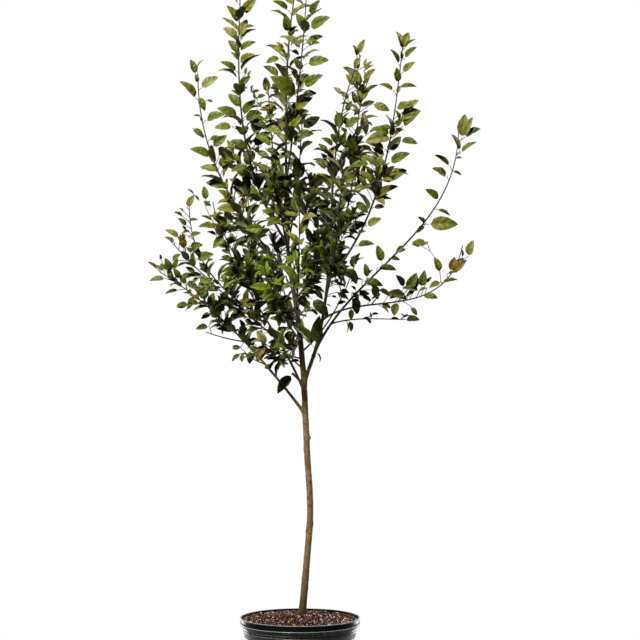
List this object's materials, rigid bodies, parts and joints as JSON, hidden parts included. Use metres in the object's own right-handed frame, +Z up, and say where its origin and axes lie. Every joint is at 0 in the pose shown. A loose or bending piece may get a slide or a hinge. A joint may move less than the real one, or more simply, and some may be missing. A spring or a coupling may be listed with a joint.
{
  "type": "potted apple tree",
  "caption": "Young apple tree with a slim bare trunk and an open upright crown of leafy shoots, standing in a round black nursery pot filled with bark-covered soil.",
  "frame": {"origin": "centre of the pot's flat underside", "axes": "+Z up along the tree's height, +X to the right and +Y away from the picture's camera"},
  "size_m": [1.0327, 0.8966, 2.3219],
  "materials": {
    "black plastic": "satin moulded black plastic",
    "bark mulch": "loose shredded bark over potting soil",
    "bark": "smooth young bark with knots and lenticels",
    "foliage": "folded green leaves with pale undersides"
  },
  "bodies": {
    "root": {"bough_back_high": "bark", "bough_back_left": "bark", "bough_back_low": "bark", "bough_back_right": "bark", "bough_back_right_low": "bark", "bough_back_spur": "bark", "bough_front_high": "bark", "bough_front_left": "bark", "bough_front_low": "bark", "bough_front_middle": "bark", "bough_front_right": "bark", "bough_front_spur": "bark", "bough_left_far": "bark", "bough_left_front": "bark", "bough_left_level": "bark", "bough_left_low": "bark", "bough_left_middle": "bark", "bough_left_riser": "bark", "bough_left_spur": "bark", "bough_left_upper": "bark", "bough_right_inner": "bark", "bough_right_level": "bark", "bough_right_low": "bark", "bough_right_middle": "bark", "bough_right_outer": "bark", "bough_right_upper": "bark", "bough_top_left": "bark", "bough_top_right": "bark", "mass_back_high": "foliage", "mass_back_left": "foliage", "mass_back_low": "foliage", "mass_back_right": "foliage", "mass_back_right_low": "foliage", "mass_back_spur": "foliage", "mass_front_high": "foliage", "mass_front_left": "foliage", "mass_front_low": "foliage", "mass_front_middle": "foliage", "mass_front_right": "foliage", "mass_front_spur": "foliage", "mass_leader": "foliage", "mass_left_far": "foliage", "mass_left_front": "foliage", "mass_left_level": "foliage", "mass_left_low": "foliage", "mass_left_middle": "foliage", "mass_left_riser": "foliage", "mass_left_spur": "foliage", "mass_left_upper": "foliage", "mass_right_inner": "foliage", "mass_right_level": "foliage", "mass_right_low": "foliage", "mass_right_middle": "foliage", "mass_right_outer": "foliage", "mass_right_upper": "foliage", "mass_top_left": "foliage", "mass_top_right": "foliage", "pot": "black plastic", "soil": "bark mulch", "trunk": "bark"}
  },
  "joints": []
}
